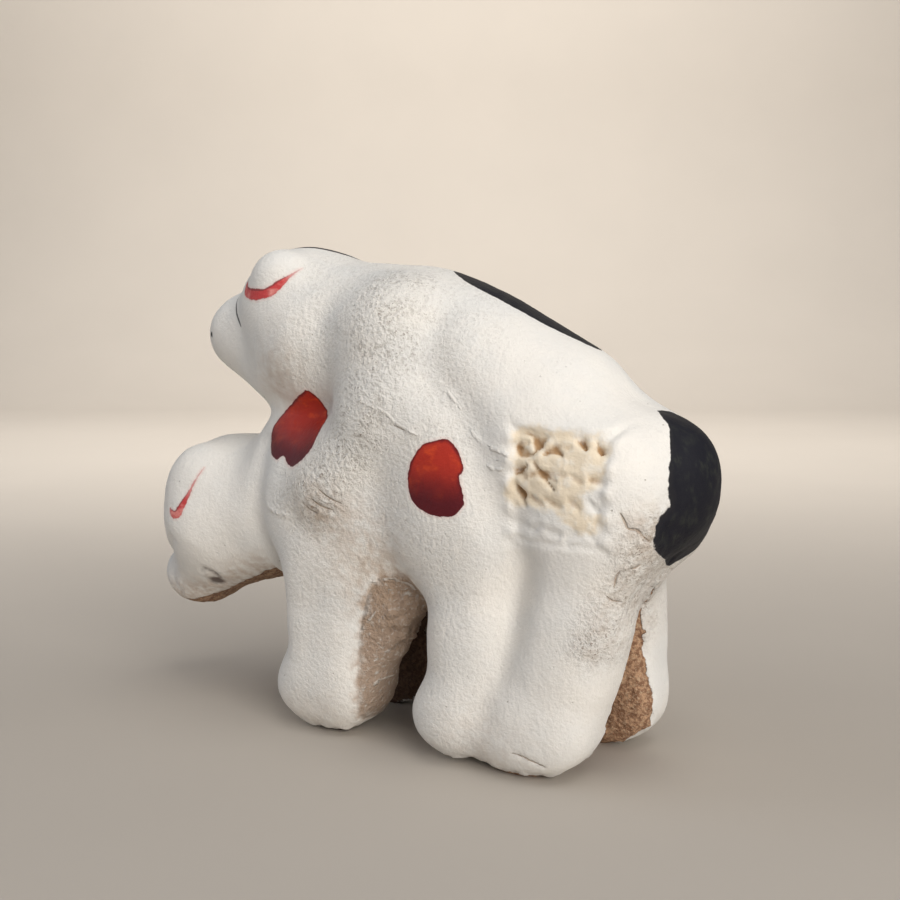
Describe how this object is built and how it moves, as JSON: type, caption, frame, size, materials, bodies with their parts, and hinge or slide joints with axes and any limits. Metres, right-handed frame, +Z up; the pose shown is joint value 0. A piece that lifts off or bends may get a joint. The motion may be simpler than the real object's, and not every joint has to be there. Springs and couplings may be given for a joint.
{
  "type": "clay dog pair figurine",
  "caption": "Moulded clay charm of a small dog riding on a larger dog's back, chalk white with red spots and a black back and tail, standing on short thick legs.",
  "frame": {"origin": "on the ground under the middle of the group's bounding box", "axes": "+X runs from the heads to the tail, +Z is up, and the flank with the stamped square faces -Y"},
  "size_m": [0.0557, 0.0192, 0.0418],
  "materials": {
    "painted_clay": "matte"
  },
  "bodies": {
    "root": {"clay_dogs": "painted_clay"}
  },
  "joints": []
}
